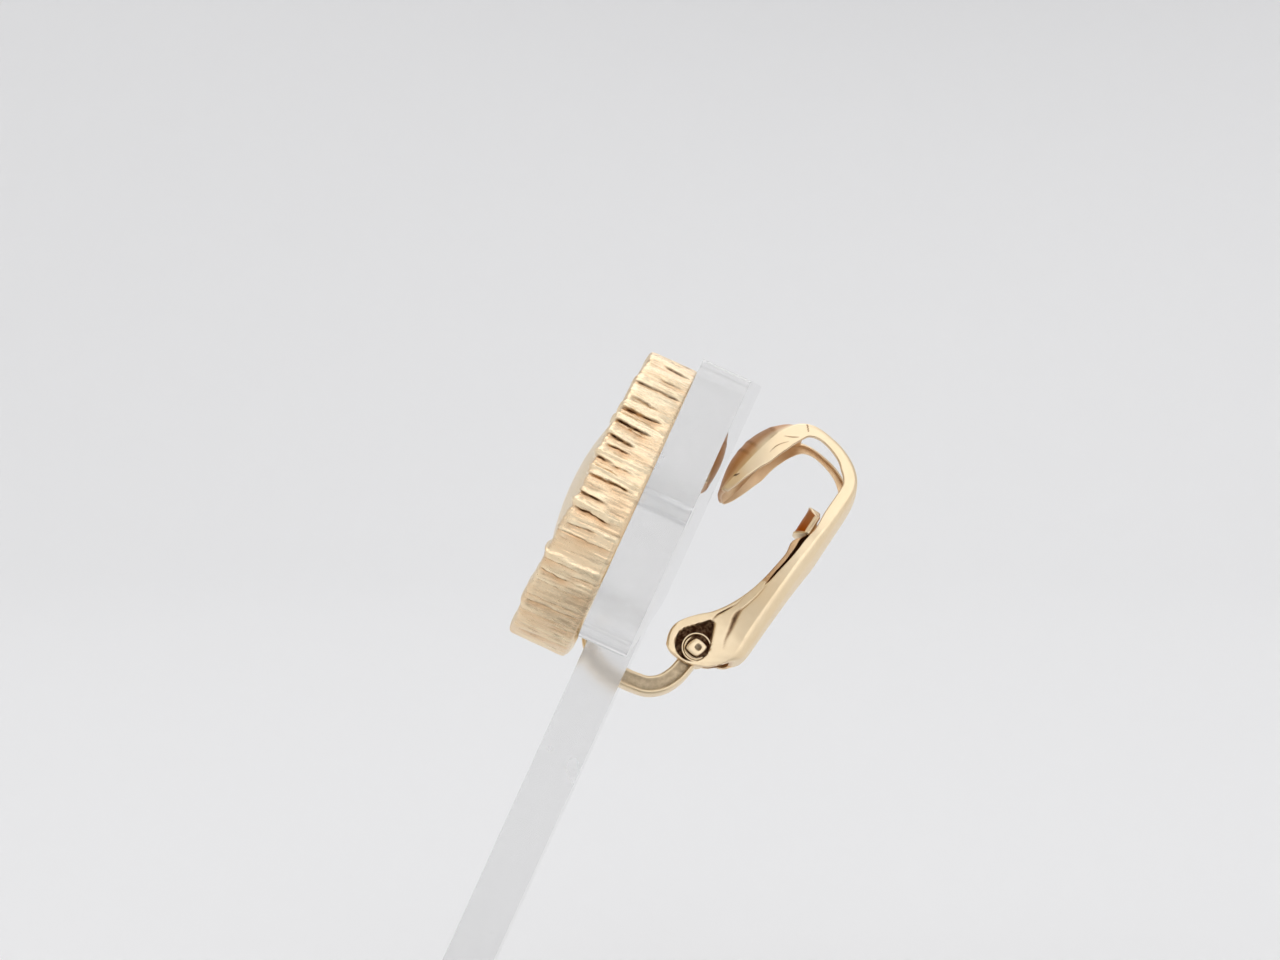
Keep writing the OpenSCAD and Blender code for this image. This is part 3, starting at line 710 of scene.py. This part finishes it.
# %% The lever's ribs
# [corner back, corner up, edge back, edge up, half width at edge, half width at corner,
#  corner radius, swell, rows to the next rib]
RIBS = np.array([
    [9.90, -7.46, 9.15, -7.98, 1.30, 1.34, 0.18, 0.02, 8],
    [10.15, -7.24, 8.30, -8.22, 1.30, 1.38, 0.25, 0.03, 10],
    [10.38, -7.04, 7.50, -8.34, 1.30, 1.43, 0.32, 0.04, 10],
    [10.60, -6.86, 6.62, -8.13, 1.30, 1.48, 0.40, 0.05, 9],
    [10.78, -6.72, 6.03, -7.87, 1.30, 1.53, 0.45, 0.06, 8],
    [10.93, -6.58, 5.77, -7.40, 1.30, 1.58, 0.50, 0.08, 9],
    [11.05, -6.42, 5.68, -6.73, 1.30, 1.63, 0.55, 0.09, 10],
    [11.14, -6.24, 5.86, -6.03, 1.30, 1.68, 0.60, 0.10, 10],
    [11.21, -6.00, 6.38, -5.37, 1.30, 1.73, 0.65, 0.11, 10],
    [11.28, -5.70, 7.13, -4.74, 1.31, 1.78, 0.70, 0.12, 10],
    [11.36, -5.30, 7.88, -4.22, 1.36, 1.86, 0.75, 0.13, 10],
    [11.50, -4.55, 8.77, -3.28, 1.52, 1.98, 0.80, 0.14, 10],
    [11.72, -3.45, 9.60, -2.05, 1.80, 2.18, 0.85, 0.14, 10],
    [11.96, -2.25, 10.17, -0.88, 2.06, 2.38, 0.85, 0.16, 11],
    [12.22, -0.90, 10.60, 0.30, 2.28, 2.54, 0.80, 0.20, 11],
    [12.52, 0.50, 10.94, 1.42, 2.44, 2.64, 0.75, 0.24, 11],
    [12.82, 1.80, 11.04, 2.38, 2.54, 2.70, 0.68, 0.28, 10],
    [13.03, 3.00, 11.96, 3.30, 2.62, 2.74, 0.60, 0.28, 8],
    [13.22, 4.00, 12.20, 4.20, 2.70, 2.76, 0.50, 0.26, 8],
    [13.40, 5.00, 12.30, 5.10, 2.76, 2.78, 0.42, 0.25, 8],
    [13.57, 6.00, 12.52, 6.25, 2.80, 2.80, 0.36, 0.25, 8],
    [13.70, 6.90, 12.66, 7.00, 2.80, 2.80, 0.32, 0.22, 8],
    [13.68, 7.70, 12.70, 7.55, 2.80, 2.80, 0.28, 0.18, 8],
    [13.45, 8.35, 12.50, 8.02, 2.80, 2.80, 0.26, 0.14, 8],
    [13.02, 8.95, 12.22, 8.38, 2.80, 2.80, 0.26, 0.11, 8],
    [12.40, 9.50, 11.84, 8.88, 2.80, 2.80, 0.25, 0.09, 8],
    [11.60, 10.00, 11.24, 9.32, 2.80, 2.80, 0.24, 0.07, 8],
    [10.78, 10.33, 10.56, 9.66, 2.80, 2.80, 0.24, 0.05, 7],
    [9.95, 10.58, 9.87, 9.86, 2.80, 2.80, 0.24, 0.05, 7],
    [9.25, 10.66, 9.21, 9.76, 2.80, 2.80, 0.24, 0.06, 7],
    [8.65, 10.56, 8.85, 9.35, 2.82, 2.82, 0.22, 0.12, 7],
    [8.10, 10.28, 8.45, 8.75, 2.88, 2.84, 0.20, 0.35, 8],
    [7.60, 9.80, 8.20, 8.30, 2.92, 2.85, 0.18, 0.85, 9],
    [7.02, 9.10, 7.92, 7.85, 2.93, 2.84, 0.16, 1.12, 9],
    [6.62, 8.35, 7.66, 7.38, 2.92, 2.82, 0.15, 1.30, 9],
    [6.32, 7.60, 7.38, 6.86, 2.90, 2.78, 0.14, 1.38, 9],
    [6.06, 6.90, 6.98, 6.36, 2.85, 2.72, 0.14, 1.34, 9],
    [5.82, 6.20, 6.62, 5.80, 2.77, 2.64, 0.13, 1.24, 9],
    [5.60, 5.58, 6.30, 5.29, 2.66, 2.54, 0.12, 1.02, 9],
    [5.40, 5.00, 6.02, 4.80, 2.50, 2.40, 0.12, 0.75, 9],
    [5.20, 4.46, 5.76, 4.37, 2.28, 2.20, 0.12, 0.44, 8],
    [5.02, 3.98, 5.48, 3.98, 1.95, 1.88, 0.12, 0.20, 0]])
# Thickness of the sheet, and the outside of the ears
SHEET, EAR_X = 0.34, 1.3
# Columns of a half section: up the side, round the corner and across the back
SIDE, CORNER, BACK = 50, 6, 12

steps = RIBS[:, 8].astype(int)
# Each row's place along the table of ribs
where = np.concatenate([k + np.arange(n) / n for k, n in enumerate(steps[:-1])]
                       + [[len(RIBS) - 1.0]])
ribs = through(RIBS[:, :8], where)
corner, edge = ribs[:, 0:2], ribs[:, 2:4]
full_depth = np.linalg.norm(corner - edge, axis=1, keepdims=True)
toward_back = (corner - edge) / full_depth
print("lever ribs:", len(RIBS), "rows:", len(where))

# %% [markdown]
# ### Sections of the channel
# Each row of the lever is one section of the channel, laid out flat first: how far a
# point is from the free edge, and how far from the middle. The inside is the same
# section drawn again, smaller by the sheet's thickness.

# %% The sections
# The far ear is shorter than the near one, by this much below this height
FAR_EAR_SHORT, FAR_EAR_UP = 0.36, -7.1
# The far wall of the curl is lower, by this share of its depth, between these ribs
FAR_CURL_LOW, FAR_CURL_RIBS = 0.34, (22, 39)


def section(inset):
    """Half sections of every rib, inset by a sheet's thickness: a straight side, an arc
    round the corner that ends where its slope meets the swell's, and a parabola across
    the back. Returns distance from the free edge and half width, a row for each rib."""
    deep = np.maximum(full_depth - inset, 0.04)
    radius = np.clip(ribs[:, 6:7] - inset, 0.05, 0.8 * deep)
    w_edge, w_corner, swell = ribs[:, 4:5] - inset, ribs[:, 5:6] - inset, ribs[:, 7:8]
    arc = np.arctan2(w_corner - radius, 2 * swell) * np.linspace(0, 1, CORNER + 1)[None, :]
    arc_a = deep - radius + radius * np.sin(arc)
    arc_b = w_corner - radius + radius * np.cos(arc)
    k = np.linspace(0, 1, SIDE, endpoint=False)[None, :]
    share = np.linspace(1, 0, BACK)[None, 1:]
    return (np.concatenate([(deep - radius) * k, arc_a,
                            arc_a[:, -1:] + swell * (1 - share**2)], 1),
            np.concatenate([w_edge + (w_corner - w_edge) * k, arc_b, arc_b[:, -1:] * share], 1))


def both_halves(half):
    """A half section's values, and the same ones turned round for the other half."""
    return np.concatenate([half, half[:, -2::-1]], 1)


def mirrored(a, b):
    """Full sections in the clip's frame from distances to the edge and half widths: the near
    half, then the far one, whose ear is shorter and whose wall of the curl is lower."""
    near = np.concatenate([b[..., None], edge[:, None] + a[..., None] * toward_back[:, None]], -1)
    first, last = FAR_CURL_RIBS
    low = FAR_CURL_LOW * (smooth_step((where - first) / 2) * smooth_step((last - where) / 8))
    lift = (full_depth - a) * low[:, None]
    far = near.copy()
    far[..., 1:] += lift[..., None] * toward_back[:, None]
    far = far[:, -2::-1] * [-1, 1, 1]
    far[..., 2] += FAR_EAR_SHORT * smooth_step((FAR_EAR_UP - far[..., 2]) / 0.7)
    return np.concatenate([near, far], 1)


# %% [markdown]
# ### Slit, folds and marks
# The sheet's side has a slit, a crease, a dish round the pin and a border round the
# ear, and the pad has low ribs and short dents. Each is a short line of points. The
# side's columns are close enough to be dented by the lines themselves, and the same
# lines darken the finish as painted shade.

# %% The lines on the lever
# Everything below [back, up, depth, half width, darkness], darkness being painted shade:
# the slit that parts the front strip from the body, a faint crease below it, the painted
# shade that fills the ear's fold, the line between the ear's border and its panel, and short
# dents on the pad.
SLIT = [[12.14, 4.20, 0.08, 0.02, 0.8], [11.98, 3.57, 0.12, 0.03, 1.0],
        [11.84, 3.05, 0.20, 0.06, 1.1], [11.64, 2.64, 0.28, 0.13, 1.2],
        [11.50, 1.90, 0.30, 0.10, 1.2], [11.20, 0.82, 0.28, 0.065, 1.1],
        [10.85, -0.18, 0.22, 0.055, 1.0], [10.64, -0.82, 0.14, 0.04, 0.9],
        [10.48, -1.15, 0.04, 0.03, 0.6]]
CREASE = [[10.55, -1.35, 0.01, 0.04, 0.12], [10.27, -2.20, 0.02, 0.05, 0.15],
          [9.90, -3.00, 0.03, 0.05, 0.2], [9.66, -3.44, 0.04, 0.05, 0.3]]
FOLD_SHADE = [[9.62, -3.49, 0.03, 0.08, 0.55], [9.48, -4.02, 0.05, 0.14, 0.8],
           [9.50, -4.88, 0.04, 0.10, 0.7], [9.48, -5.49, 0.03, 0.06, 0.6],
           [9.50, -5.97, 0.02, 0.03, 0.45], [9.60, -6.47, 0.01, 0.02, 0.15]]
BORDER_LINE = [[8.11, -4.83, 0.02, 0.02, 0.3], [8.26, -4.39, 0.05, 0.035, 0.9],
               [8.52, -4.05, 0.06, 0.05, 1.0], [8.82, -3.66, 0.05, 0.04, 0.9],
               [9.17, -3.22, 0.03, 0.02, 0.4], [9.52, -2.47, 0.01, 0.01, 0.2]]
PAD_MARKS = [
    [[7.11, 7.57, 0.01, 0.02, 0.3], [7.32, 8.06, 0.02, 0.03, 0.5],
     [7.60, 8.41, 0.02, 0.03, 0.5], [8.03, 8.78, 0.01, 0.02, 0.3]],
    [[7.61, 9.04, 0.01, 0.02, 0.4], [8.14, 9.19, 0.02, 0.04, 0.6], [8.57, 9.38, 0.01, 0.02, 0.4]],
    [[5.44, 5.05, 0.03, 0.04, 0.7], [5.58, 5.16, 0.04, 0.06, 0.8], [5.74, 5.30, 0.02, 0.03, 0.5]],
    [[8.77, 10.46, 0.02, 0.04, 0.8], [9.02, 10.05, 0.02, 0.03, 0.6]]]
# Low ribs across the pad's face: their places along the table of ribs, and their height
PAD_RIBS, PAD_RIB_H = [33.1, 35.1, 36.1], 0.03
# The dish round the pin is a tapered capsule: [across, up, radius] from the hinge
DISH, DISH_DEPTH = np.array([[-0.34, 0.12, 1.22], [0.22, 1.84, 0.28]]), 0.30


def line_marks(s, t, line, soft):
    """Depth and darkness of a line of [back, up, depth, half width, darkness] rows: those
    of its nearest point, inside its half width, with an edge as soft as given in mm."""
    dense = evenly(line, 140)
    d2 = (s[..., None] - dense[:, 0]) ** 2 + (t[..., None] - dense[:, 1]) ** 2
    best = d2.argmin(-1)
    off = np.sqrt(np.take_along_axis(d2, best[..., None], -1)[..., 0])
    inside = smooth_step((dense[best, 3] + soft - off) / (2 * soft))
    return dense[best, 2] * inside, dense[best, 4] * inside


def dish_distance(s, t):
    """Signed distance to the dish: the least of the distances to circles that run from
    its round end to its point."""
    k = np.linspace(0, 1, 14)[:, None]
    circles = DISH[0] * (1 - k) + DISH[1] * k
    d = [np.hypot(s - HINGE[0] - c[0], t - HINGE[1] - c[1]) - c[2] for c in circles]
    return np.min(d, axis=0)


# %% Dents and darkness of the near half
out_a, out_b = section(0)
# Where each point is in the clip's side plane: s behind the button, t up
s = edge[:, :1] + out_a * toward_back[:, :1]
t = edge[:, 1:] + out_a * toward_back[:, 1:]
columns = np.arange(out_a.shape[1])[None, :]
# The wall, its stretch below the curl that the side's lines are on, and the pad's side
on_wall = columns < SIDE + 2
on_side = on_wall & ((t < 0) | (t < 4.6) & (s > 7.4))
on_pad = (columns < SIDE + CORNER) & (where[:, None] > 28.5)
dish = np.where(on_side, 1 - smooth_step((dish_distance(s, t) + 0.05) / 0.1), 0)
# The dish is dented and painted dark as shade
cut, mark = DISH_DEPTH * dish, 0.95 * dish
for region, soft, lines in ((on_side, 0.03, [SLIT, CREASE, BORDER_LINE]),
                            (on_side, 0.10, [FOLD_SHADE]), (on_pad, 0.03, PAD_MARKS)):
    for line in lines:
        deep, dark = line_marks(s, t, line, soft)
        cut = np.maximum(cut, np.where(region, deep, 0))
        mark = np.maximum(mark, np.where(region, dark, 0))
out_b = out_b - np.where(on_wall, cut, 0)

rib_rows = sum(np.exp(-((where - at) / 0.22) ** 2) for at in PAD_RIBS)[:, None]
face = smooth_step((columns - SIDE - CORNER) / 3) * smooth_step((where - 30.5) / 1.5)[:, None]
out_a = out_a + PAD_RIB_H * face * rib_rows
# Painted shade on the pad's face, darker along its ribs
mark = np.maximum(mark, face * (0.1 + 0.3 * np.clip(rib_rows - 0.3, 0, 1)))
# The strip in front of the slit gets a little painted shade, to be darker than the body
slit = np.array(SLIT)[::-1]
strip = on_side & (t > -1) & (s < np.interp(t, slit[:, 1], slit[:, 0]))
mark = np.maximum(mark, 0.08 * strip)
# Painted reflection on the pad's face, which faces the button's gold, and a warmer painted shade
# on the strip and along the dark lines
warm = np.maximum(0.85 * face, 0.5 * strip) + 0.5 * np.clip(2 * mark, 0, 1)
print("deepest dent in the lever's side, mm:", cut.max().round(2))

# %% [markdown]
# ### Window, notch and edges
# The curl has a long window, and the back is open between the ears, where the arm passes
# as the lever swings. Both are faces left out of the grid before its wall is made. Near
# every free edge the outside falls by a quarter circle, as tumbling rounds a stamping.

# %% The lever's sheet
# The window's half width, and its ends along the table of ribs
WINDOW_HALF, WINDOW_RIBS = 2.1, (23.0, 29.9)
# The back is open below this height, this far to each side
NOTCH_UP, NOTCH_HALF = -6.85, 1.05
EDGE_ROUND = 0.11


def face_means(grid):
    """Mean of the four corners of each of a grid's faces."""
    return (grid[:-1, :-1] + grid[:-1, 1:] + grid[1:, 1:] + grid[1:, :-1]) / 4


outer, inner = mirrored(out_a, out_b), mirrored(*section(SHEET))
mark, warm = both_halves(mark), np.clip(both_halves(warm), 0, 1)
half_width = both_halves(out_b)
# How far along the back line each row is, and how far past the window's ends
run = np.concatenate([[0], np.cumsum(np.linalg.norm(np.diff(corner, axis=0), axis=1))])
window_run = np.interp(WINDOW_RIBS, where, run)
past = np.maximum(window_run[0] - run, run - window_run[1])[:, None] + 0 * half_width
columns = np.arange(outer.shape[1])[None, :] + 0 * half_width
on_back = (columns >= SIDE) & (columns < outer.shape[1] - SIDE)
to_window = np.where(on_back, np.hypot(np.maximum(half_width - WINDOW_HALF, 0),
                                       np.maximum(past, 0)), 9)
to_end = np.minimum(run, run[-1] - run)[:, None]
to_edge = np.minimum(np.minimum(both_halves(out_a), to_end), to_window)
skin = outer - edge_drop(to_edge, EDGE_ROUND)[..., None] * normals_of(outer)

touches_back = face_means(on_back.astype(float)) > 0
window = (face_means(half_width) < WINDOW_HALF + 0.06) & (face_means(past) < 0)
notch = (face_means(half_width) < NOTCH_HALF) & (face_means(outer[..., 2]) < NOTCH_UP)
lever_sheet = sheet(skin, inner, ~(touches_back & (window | notch)))

# %% The eyelets and the whole lever
# A raised ring round the pin in each ear's dish: [radius, height over the dish's floor]
EYELET = np.array([[0.925, -0.05], [1.045, -0.05], [1.045, 0.24], [1.015, 0.28],
                   [0.955, 0.28], [0.925, 0.24]])
dish_floor = EAR_X - DISH_DEPTH
eyelets = [turned_ring((EYELET + [0, dish_floor]) * [1, side], 72) for side in (-1, 1)]
on_eyelets = np.zeros(sum(len(points) for points, _ in eyelets))
# After the outside's marks come the inside's, a faint painted shade and warmth the same all over,
# and the eyelets' none
lever_shade = np.concatenate([mark.ravel(), np.full(mark.size, 0.06), on_eyelets])
lever_warm = np.concatenate([warm.ravel(), np.full(mark.size, 0.4), on_eyelets])
piece("lever_shell", joined(lever_sheet, *eyelets), clip_to_world, stamped_gold, "lever",
      ["lever"], {"painted_shade": lever_shade, "warm": lever_warm})

# %% [markdown]
# ## The pin
# The pin is a rivet: its end is struck to a rhombus, with a dent from the punch, on a
# thin washer. A stack of outlines makes it. Each outline is a circle whose cosine and
# sine are raised to a power, and the power grows from 1 as the outlines turn to rhombi.

# %% The hinge pin
# From the washer's middle out to its rim, back in to the stub and down into the dent:
# [half size along, half size across, height, power, shift of the dent, painted shade], which
# darkens the foot of the stub and the dent
HEAD = np.array([
    [0.00, 0.00, 0.00, 1.0, 0.00, 0.00], [0.86, 0.86, 0.00, 1.0, 0.00, 0.00],
    [0.86, 0.86, 0.07, 1.0, 0.00, 0.00], [0.82, 0.82, 0.09, 1.0, 0.00, 0.10],
    [0.81, 0.76, 0.08, 1.1, 0.00, 0.30], [0.76, 0.68, 0.04, 1.4, 0.00, 0.70],
    [0.74, 0.64, 0.05, 1.5, 0.00, 0.70], [0.72, 0.62, 0.24, 1.5, 0.00, 0.15],
    [0.66, 0.57, 0.28, 1.5, 0.00, 0.00], [0.28, 0.30, 0.27, 1.3, 0.12, 0.00],
    [0.24, 0.26, 0.26, 1.3, 0.12, 0.40], [0.17, 0.18, 0.17, 1.2, 0.12, 0.70],
    [0.00, 0.00, 0.15, 1.0, 0.12, 0.70]])
HEAD_COLUMNS = 64
# How far each head's rhombus is turned, by the side that it is on
HEAD_TURN = {1: 24.4, -1: -35.0}
# The shaft, closed at both ends: [radius, place along X]
SHAFT = [[0.0, -1.1], [0.48, -1.1], [0.48, 1.1], [0.0, 1.1]]


def pin_head(side):
    """The head's outlines, each turned as the rivet was struck and set out from the ear."""
    turn, tilt = round_angles(HEAD_COLUMNS), np.radians(HEAD_TURN[side])
    along, across, height, power, shift = (HEAD[:, k:k + 1] for k in range(5))
    u = along * squared(np.cos(turn), power) + shift
    v = across * squared(np.sin(turn), power)
    grid = np.stack([side * (dish_floor + 0.02 + height + 0 * u),
                     HINGE[0] + u * np.cos(tilt) - v * np.sin(tilt),
                     HINGE[1] + u * np.sin(tilt) + v * np.cos(tilt)], -1)
    return grid.reshape(-1, 3), grid_faces(*grid.shape[:2], wrap=True)


shaft = turned_ring(SHAFT, 48)
pin_shade = np.concatenate([np.zeros(len(shaft[0])),
                             np.tile(np.repeat(HEAD[:, 5], HEAD_COLUMNS), 2)])
piece("struck_pin", joined(shaft, pin_head(-1), pin_head(1)), clip_to_world, stamped_gold,
      "lever", ["hinge_pin"], {"painted_shade": pin_shade})

# %% [markdown]
# ## The leaf spring
# A flat strip lies in the channel and gives the lever its snap. Its upper end is folded
# into a rounded block that shows between the lever's edges as a small tab. The strip is
# carried along its line as the arm is, and the block is a rounded box whose points are
# moved by formulas, which keeps its rounding even where its sides are drawn in.

# %% The spring and its tab
# The strip's middle line: [distance behind the button, height]
SPRING_LINE = [[8.90, -5.70], [9.70, -4.30], [10.60, -2.10], [11.25, 0.30], [11.65, 2.20],
               [11.80, 3.60]]
SPRING_W, SPRING_T = 1.6, 0.3
# Half sizes of the tab, where its middle is in the clip's side plane, and its lean
TAB_HALF, TAB_AT, TAB_LEAN = (1.42, 0.52, 1.16), (11.38, 4.50), 9
# Half sizes of the sunk panel on the tab's front, its depth and its edge's width
PANEL_HALF, PANEL_DEPTH, PANEL_EDGE = (1.3, 1.04), 0.08, 0.08


def spring_tab():
    """The folded end: a rounded box whose front carries a sunk panel, whose corners are
    drawn in as a square of the distance across, and which leans with the strip. Returns
    its shape, the panel as a share from 0 to 1, and a painted reflection of the button's gold
    that fades up the panel."""
    points, faces = round_box(TAB_HALF, 0.17, 26)
    x, y, z = points.T
    front = smooth_step((0.1 - y) / 0.5)
    panel = (front * smooth_step((PANEL_HALF[0] - np.abs(x)) / PANEL_EDGE)
             * smooth_step((PANEL_HALF[1] - np.abs(z)) / PANEL_EDGE))
    panel_reflection = 1.0 - 0.35 * smooth_step((0.5 + z + 0.4 * x) / 1.2)
    drawn_in = np.where(z > 0, 0.45, 0.2) * smooth_step((np.abs(x) - 0.35) / 1.1)
    z = z * (1 - drawn_in)
    y = y + (0.36 * front + 0.12) * x**2 + PANEL_DEPTH * panel
    lean = np.radians(TAB_LEAN)
    tab = np.stack([x, TAB_AT[0] + y * np.cos(lean) + z * np.sin(lean),
                    TAB_AT[1] - y * np.sin(lean) + z * np.cos(lean)], 1)
    return (tab, faces), panel, panel_reflection


turn = round_angles(48)
strip_profile = (squared(np.stack([np.cos(turn), np.sin(turn)], -1), 0.25)
                 * [SPRING_W / 2, SPRING_T / 2])
strip = carried(evenly(SPRING_LINE, 60), strip_profile)
tab, panel, panel_reflection = spring_tab()
# The strip, which lies in the lever's channel, gets painted shade and warmth; the tab's panel gets
# a little painted shade and a painted reflection of the button's gold that fades upwards
spring_shade = np.concatenate([np.full(len(strip[0]), 0.2), 0.05 * panel])
spring_warm = np.concatenate([np.full(len(strip[0]), 0.3), panel * panel_reflection])
piece("leaf_spring_tab", joined(strip, tab), clip_to_world, spring_gold, "lever",
      ["leaf_spring"], {"painted_shade": spring_shade, "warm": spring_warm})

# %% [markdown]
# ## Camera, room and light
# The earring was photographed from the side, almost level with it, so its button is
# seen on edge. The room is a pale bowl that curves up from the floor all round, as a
# light tent does: polished metal shows its room, so a plain room gives calm gold.

# %% The camera
# The camera's place, and its right, up and ahead, in the earring's own frame. They were
# worked out from the photograph, and are carried with the earring.
CAMERA_AT = np.array([169.669, -0.58, -42.937])
CAMERA_AXES = np.array([[0.10691, 0.91064, 0.39904], [0.23568, -0.41307, 0.87964],
                        [-0.96596, -0.00004, 0.25881]])
camera_at = earring_to_world(CAMERA_AT)
right, up, ahead = CAMERA_AXES @ ON_EARRING.T
camera = linked("camera", bpy.data.cameras.new("camera"))
camera.matrix_world = Matrix([
    [right[k], up[k], -ahead[k], camera_at[k]] for k in range(3)] + [[0, 0, 0, 1]])
camera.data.sensor_width, camera.data.lens = 36.0, 69.89
camera.data.clip_start, camera.data.clip_end = 0.005, 20
bpy.context.scene.camera = camera
print("camera at, mm:", (camera_at / MM).round(2))

# %% The pale bowl
# In metres: the floor's radius, the sweep's, the wall's height, and how far the floor is
# below the stand, so that the two don't share a plane
FLOOR_R, SWEEP_R, WALL_H, FLOOR_DROP = 0.5, 0.5, 1.1, 0.02 * MM


def bowl(count=96):
    """A flat floor, a quarter circle up, and a wall, turned once round the middle."""
    arc = np.radians(np.linspace(0, 90, 24))
    r = np.concatenate([[0, FLOOR_R / 2], FLOOR_R + SWEEP_R * np.sin(arc), [FLOOR_R + SWEEP_R]])
    z = np.concatenate([[0, 0], SWEEP_R - SWEEP_R * np.cos(arc), [WALL_H]])
    turn = round_angles(count)
    grid = np.stack([r[:, None] * np.cos(turn), r[:, None] * np.sin(turn),
                     z[:, None] - FLOOR_DROP + 0 * turn], -1)
    return grid.reshape(-1, 3), grid_faces(len(r), count, wrap=True)


paper, tree, out = new_finish("pale_paper")
shader = add(tree, "BsdfPrincipled", {"Base Color": hex_colour("#EBEBEB"), "Roughness": 0.9})
tree.links.new(shader.outputs[0], out.inputs["Surface"])
room = linked("room", smooth_mesh("room", *bowl(), paper))
print("room: a bowl", 2 * (FLOOR_R + SWEEP_R), "m across")

# %% The lights
# Each lamp's place in metres, the side of its square in metres, and its power in watts
LAMPS = {"overhead": ((0.0, -0.05, 0.9), 0.8, 1.5),
         "front_left": ((0.45, -0.5, 0.5), 0.4, 0.25),
         "beside_camera": ((0.55, 0.165, 0.32), 0.55, 0.62),
         "behind": ((-0.64, 0.08, 0.56), 0.48, 0.45)}
# All of them look at this point, near the earring
LAMP_AIM = Vector((0, 0, 0.035))

for name, (at, size, power) in LAMPS.items():
    light = bpy.data.lights.new(name, "AREA")
    light.size, light.energy = size, power
    aimed = (LAMP_AIM - Vector(at)).to_track_quat("-Z", "Y").to_matrix().to_4x4()
    linked(name, light).matrix_world = Matrix.Translation(at) @ aimed

world = bpy.data.worlds.new("soft_room")
world.use_nodes = True
world.node_tree.nodes["Background"].inputs["Color"].default_value = hex_colour("#F3F3F5")
world.node_tree.nodes["Background"].inputs["Strength"].default_value = 0.92
bpy.context.scene.world = world
bpy.context.scene.view_settings.view_transform = "Standard"
watts = sum(power for _, _, power in LAMPS.values())
print("lamps:", len(LAMPS), "of", round(watts, 2), "W in all")
